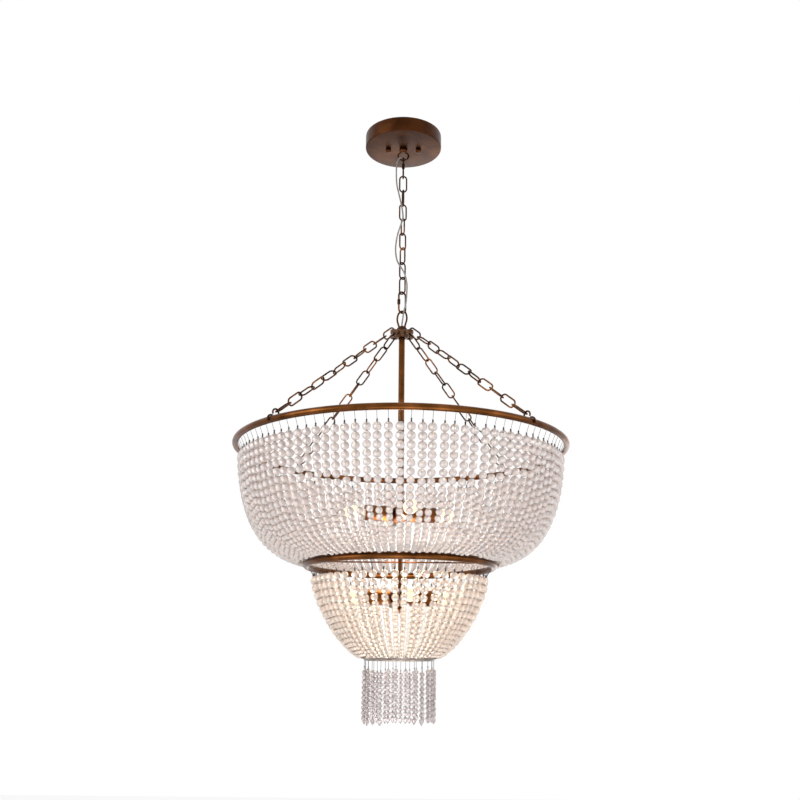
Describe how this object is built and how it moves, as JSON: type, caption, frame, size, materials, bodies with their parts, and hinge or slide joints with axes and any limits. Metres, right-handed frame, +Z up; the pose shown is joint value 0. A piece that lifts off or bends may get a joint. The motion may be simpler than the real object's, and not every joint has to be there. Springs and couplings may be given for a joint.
{
  "type": "beaded chandelier",
  "caption": "Tiered beaded bowl chandelier hung by a chain from a round ceiling canopy, with arm chains, rings of bead strands and a crystal fringe.",
  "frame": {"origin": "centre of the canopy in the plane of the ceiling", "axes": "+Z up, out of the room through the ceiling; +X along the canopy's crossbar; -Y towards the viewer of the picture"},
  "size_m": [0.6094, 0.6094, 1.121],
  "materials": {
    "bronze": "antique bronze, brushed through to lighter brown",
    "dark_bronze": "dark antique bronze",
    "zinc_steel": "zinc plated",
    "clear_jacket": "clear jacket over silver conductors",
    "frosted_glass": "frosted alabaster glass beads",
    "cream_glass": "warm cream glass beads",
    "clear_crystal": "clear cut crystal",
    "bulb_glass": "frosted lamp glass"
  },
  "bodies": {
    "canopy": {"crossbar": "zinc_steel", "canopy": "dark_bronze", "nipple": "zinc_steel", "canopy_screw_left": "dark_bronze", "canopy_screw_right": "dark_bronze", "canopy_loop": "dark_bronze", "supply_cord": "clear_jacket"},
    "chain_link_1": {"chain_link_1": "dark_bronze"},
    "chain_link_2": {"chain_link_2": "dark_bronze"},
    "chain_link_3": {"chain_link_3": "dark_bronze"},
    "chain_link_4": {"chain_link_4": "dark_bronze"},
    "chain_link_5": {"chain_link_5": "dark_bronze"},
    "chain_link_6": {"chain_link_6": "dark_bronze"},
    "chain_link_7": {"chain_link_7": "dark_bronze"},
    "chain_link_8": {"chain_link_8": "dark_bronze"},
    "chain_link_9": {"chain_link_9": "dark_bronze"},
    "quick_link": {"quick_link": "dark_bronze"},
    "quick_link_sleeve": {"quick_link_sleeve": "dark_bronze"},
    "chain_link_1_sleeve": {"chain_link_1_sleeve": "dark_bronze"},
    "fixture": {"arm_chain_1": "dark_bronze", "arm_chain_2": "dark_bronze", "arm_chain_3": "dark_bronze", "arm_chain_4": "dark_bronze", "cross_rod": "dark_bronze", "crystal_fringe": "clear_crystal", "finial": "bronze", "hub": "dark_bronze", "hub_loop": "bronze", "lower_bulb_1": "bulb_glass", "lower_bulb_2": "bulb_glass", "lower_bulb_3": "bulb_glass", "lower_bulb_4": "bulb_glass", "lower_cluster": "bronze", "lower_socket_1": "bronze", "lower_socket_2": "bronze", "lower_socket_3": "bronze", "lower_socket_4": "bronze", "lower_strands_1": "cream_glass", "lower_strands_2": "cream_glass", "middle_ring": "bronze", "ring_hook_1": "dark_bronze", "ring_hook_2": "dark_bronze", "ring_hook_3": "dark_bronze", "ring_hook_4": "dark_bronze", "stem_lower": "bronze", "stem_upper": "bronze", "top_ring": "bronze", "upper_bulb_1": "bulb_glass", "upper_bulb_2": "bulb_glass", "upper_bulb_3": "bulb_glass", "upper_bulb_4": "bulb_glass", "upper_cluster": "bronze", "upper_socket_1": "bronze", "upper_socket_2": "bronze", "upper_socket_3": "bronze", "upper_socket_4": "bronze", "upper_strands_1": "frosted_glass", "upper_strands_2": "frosted_glass", "upper_strands_3": "frosted_glass", "upper_strands_4": "frosted_glass"}
  },
  "joints": [
    {"name": "canopy_loop_swing", "type": "hinge", "parent": "canopy", "child": "chain_link_1", "pos_m": [0, 0, -0.05225], "axis": [1, 0, 0], "range_deg": [-10, 10], "deforming": ["supply_cord"]},
    {"name": "link_1_swing", "type": "hinge", "parent": "chain_link_1", "child": "chain_link_2", "pos_m": [0, 0, -0.09095], "axis": [0, 1, 0], "range_deg": [-10, 10]},
    {"name": "link_2_swing", "type": "hinge", "parent": "chain_link_2", "child": "chain_link_3", "pos_m": [0, 0, -0.1214], "axis": [0.9962, 0.0872, 0], "range_deg": [-10, 10]},
    {"name": "link_3_swing", "type": "hinge", "parent": "chain_link_3", "child": "chain_link_4", "pos_m": [0, 0, -0.1521], "axis": [-0.1736, 0.9848, 0], "range_deg": [-10, 10]},
    {"name": "link_4_swing", "type": "hinge", "parent": "chain_link_4", "child": "chain_link_5", "pos_m": [0, 0, -0.1828], "axis": [0.9397, 0.342, 0], "range_deg": [-10, 10]},
    {"name": "link_5_swing", "type": "hinge", "parent": "chain_link_5", "child": "chain_link_6", "pos_m": [0, 0, -0.2135], "axis": [-0.4226, 0.9063, 0], "range_deg": [-10, 10]},
    {"name": "link_6_swing", "type": "hinge", "parent": "chain_link_6", "child": "chain_link_7", "pos_m": [0, 0, -0.2442], "axis": [0.8192, 0.5736, 0], "range_deg": [-10, 10]},
    {"name": "link_7_swing", "type": "hinge", "parent": "chain_link_7", "child": "chain_link_8", "pos_m": [0, 0, -0.2749], "axis": [-0.6428, 0.766, 0], "range_deg": [-10, 10]},
    {"name": "link_8_swing", "type": "hinge", "parent": "chain_link_8", "child": "chain_link_9", "pos_m": [0, 0, -0.3056], "axis": [0.766, 0.6428, 0], "range_deg": [-10, 10]},
    {"name": "link_9_swing", "type": "hinge", "parent": "chain_link_9", "child": "quick_link", "pos_m": [0, 0, -0.3363], "axis": [-0.766, 0.6428, 0], "range_deg": [-10, 10]},
    {"name": "quick_link_swing", "type": "hinge", "parent": "quick_link", "child": "fixture", "pos_m": [0, 0, -0.37525], "axis": [0.8192, 0.5736, 0], "range_deg": [-10, 10]},
    {"name": "link_1_sleeve_travel", "type": "slide", "parent": "chain_link_1", "child": "chain_link_1_sleeve", "axis": [0, 0, 1], "range_m": [0, 0.008]},
    {"name": "sleeve_travel", "type": "slide", "parent": "quick_link", "child": "quick_link_sleeve", "axis": [0, 0, 1], "range_m": [0, 0.008]}
  ]
}
